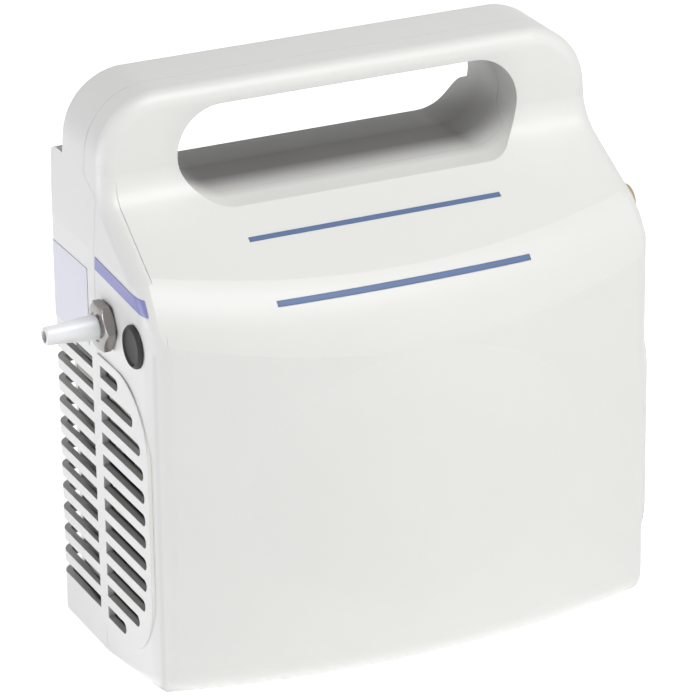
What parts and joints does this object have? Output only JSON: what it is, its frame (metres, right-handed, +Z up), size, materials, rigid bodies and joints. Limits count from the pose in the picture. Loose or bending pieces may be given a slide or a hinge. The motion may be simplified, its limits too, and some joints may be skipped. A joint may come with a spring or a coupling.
{
  "type": "diaphragm vacuum pump",
  "caption": "Portable dry diaphragm vacuum pump: boxy moulded case with a hollow carry handle, side slots, hose spigot and an electric motor driving opposed diaphragm heads.",
  "frame": {"origin": "middle of the bounding box's underside, on the surface the feet rest on", "axes": "+Z up, -Y the bulged front of the case, +X towards the exhaust side; the motor shaft runs along X"},
  "size_m": [0.284, 0.1331, 0.2475],
  "materials": {
    "case_plastic": "satin moulded, off-white",
    "label_white": "printed film",
    "strip_lilac": "printed film",
    "stripe_blue": "printed ink",
    "spigot_white": "smooth moulded",
    "nickel": "nickel plated",
    "plug_black": "moulded",
    "sintered_bronze": "sintered",
    "steel": "zinc plated",
    "bearing_steel": "ground",
    "black_rubber": "moulded",
    "cast_aluminium": "die cast",
    "core_iron": "laminated",
    "copper": "enamelled wire",
    "fan_plastic": "moulded",
    "head_plastic": "glass-filled moulding",
    "valve_rubber": "sheet",
    "tee_plastic": "moulded",
    "hose_clear": "translucent hose",
    "capacitor_can": "moulded can",
    "electric_black": "moulded",
    "lead_blue": "insulation"
  },
  "bodies": {
    "pump": {"front_shell": "case_plastic", "rear_shell": "case_plastic", "rating_label": "label_white", "side_strip": "strip_lilac", "front_stripes": "stripe_blue", "hose_spigot": "spigot_white", "inlet_bulkhead": "nickel", "hole_plug": "plug_black", "exhaust_silencer": "sintered_bronze", "exhaust_bulkhead": "nickel", "case_screws": "steel", "feet": "black_rubber", "base_plate": "steel", "base_screws": "steel", "isolators": "black_rubber", "mount_bolts": "steel", "left_housing": "cast_aluminium", "right_housing": "cast_aluminium", "stator": "core_iron", "windings": "copper", "tie_bolts": "steel", "shaft_bearings": "bearing_steel", "left_diaphragm": "black_rubber", "right_diaphragm": "black_rubber", "left_head_plate": "head_plastic", "right_head_plate": "head_plastic", "left_head_cover": "cast_aluminium", "right_head_cover": "cast_aluminium", "head_screws": "steel", "intake_tee": "tee_plastic", "exhaust_tee": "tee_plastic", "intake_hoses": "hose_clear", "exhaust_hoses": "hose_clear", "bridge_plate": "steel", "bridge_screws": "steel", "capacitor": "capacitor_can", "capacitor_clip": "steel", "mains_inlet": "electric_black", "inlet_pins": "nickel", "switch_body": "electric_black", "leads": "lead_blue"},
    "rotating": {"rotor": "cast_aluminium", "shaft": "bearing_steel", "left_eccentric": "core_iron", "right_eccentric": "core_iron", "fan": "fan_plastic"},
    "left_crank": {"left_rod": "cast_aluminium", "left_rod_bearing": "bearing_steel", "left_clamp_disc": "steel"},
    "right_crank": {"right_rod": "cast_aluminium", "right_rod_bearing": "bearing_steel", "right_clamp_disc": "steel"},
    "left_intake_disc": {"left_intake_valve": "valve_rubber"},
    "left_exhaust_disc": {"left_exhaust_valve": "valve_rubber"},
    "right_intake_disc": {"right_intake_valve": "valve_rubber"},
    "right_exhaust_disc": {"right_exhaust_valve": "valve_rubber"},
    "rocker": {"switch_rocker": "electric_black"}
  },
  "joints": [
    {"name": "rotor_spin", "type": "hinge", "parent": "pump", "child": "rotating", "pos_m": [0, 0.01195, 0.0655], "axis": [1, 0, 0], "continuous": true},
    {"name": "left_rod_swing", "type": "hinge", "parent": "rotating", "child": "left_crank", "pos_m": [-0.076, 0.01195, 0.0675], "axis": [1, 0, 0], "continuous": true, "deforming": ["left_diaphragm"]},
    {"name": "right_rod_swing", "type": "hinge", "parent": "rotating", "child": "right_crank", "pos_m": [0.076, 0.01195, 0.0635], "axis": [1, 0, 0], "continuous": true, "deforming": ["right_diaphragm"]},
    {"name": "left_intake_lift", "type": "slide", "parent": "pump", "child": "left_intake_disc", "axis": [0, 0, -1], "range_m": [0, 0.0008], "stiffness_N_per_m": 20},
    {"name": "left_exhaust_lift", "type": "slide", "parent": "pump", "child": "left_exhaust_disc", "axis": [0, 0, 1], "range_m": [0, 0.0008], "stiffness_N_per_m": 20},
    {"name": "right_intake_lift", "type": "slide", "parent": "pump", "child": "right_intake_disc", "axis": [0, 0, -1], "range_m": [0, 0.0008], "stiffness_N_per_m": 20},
    {"name": "right_exhaust_lift", "type": "slide", "parent": "pump", "child": "right_exhaust_disc", "axis": [0, 0, 1], "range_m": [0, 0.0008], "stiffness_N_per_m": 20},
    {"name": "rocker_tilt", "type": "hinge", "parent": "pump", "child": "rocker", "pos_m": [0.012, 0.05995, 0.1735], "axis": [0, 0, -1], "range_deg": [0, 16]}
  ],
  "couplings": [
    {"joint": "left_rod_swing", "follows": "rotor_spin", "ratio": -1},
    {"joint": "right_rod_swing", "follows": "rotor_spin", "ratio": -1}
  ]
}
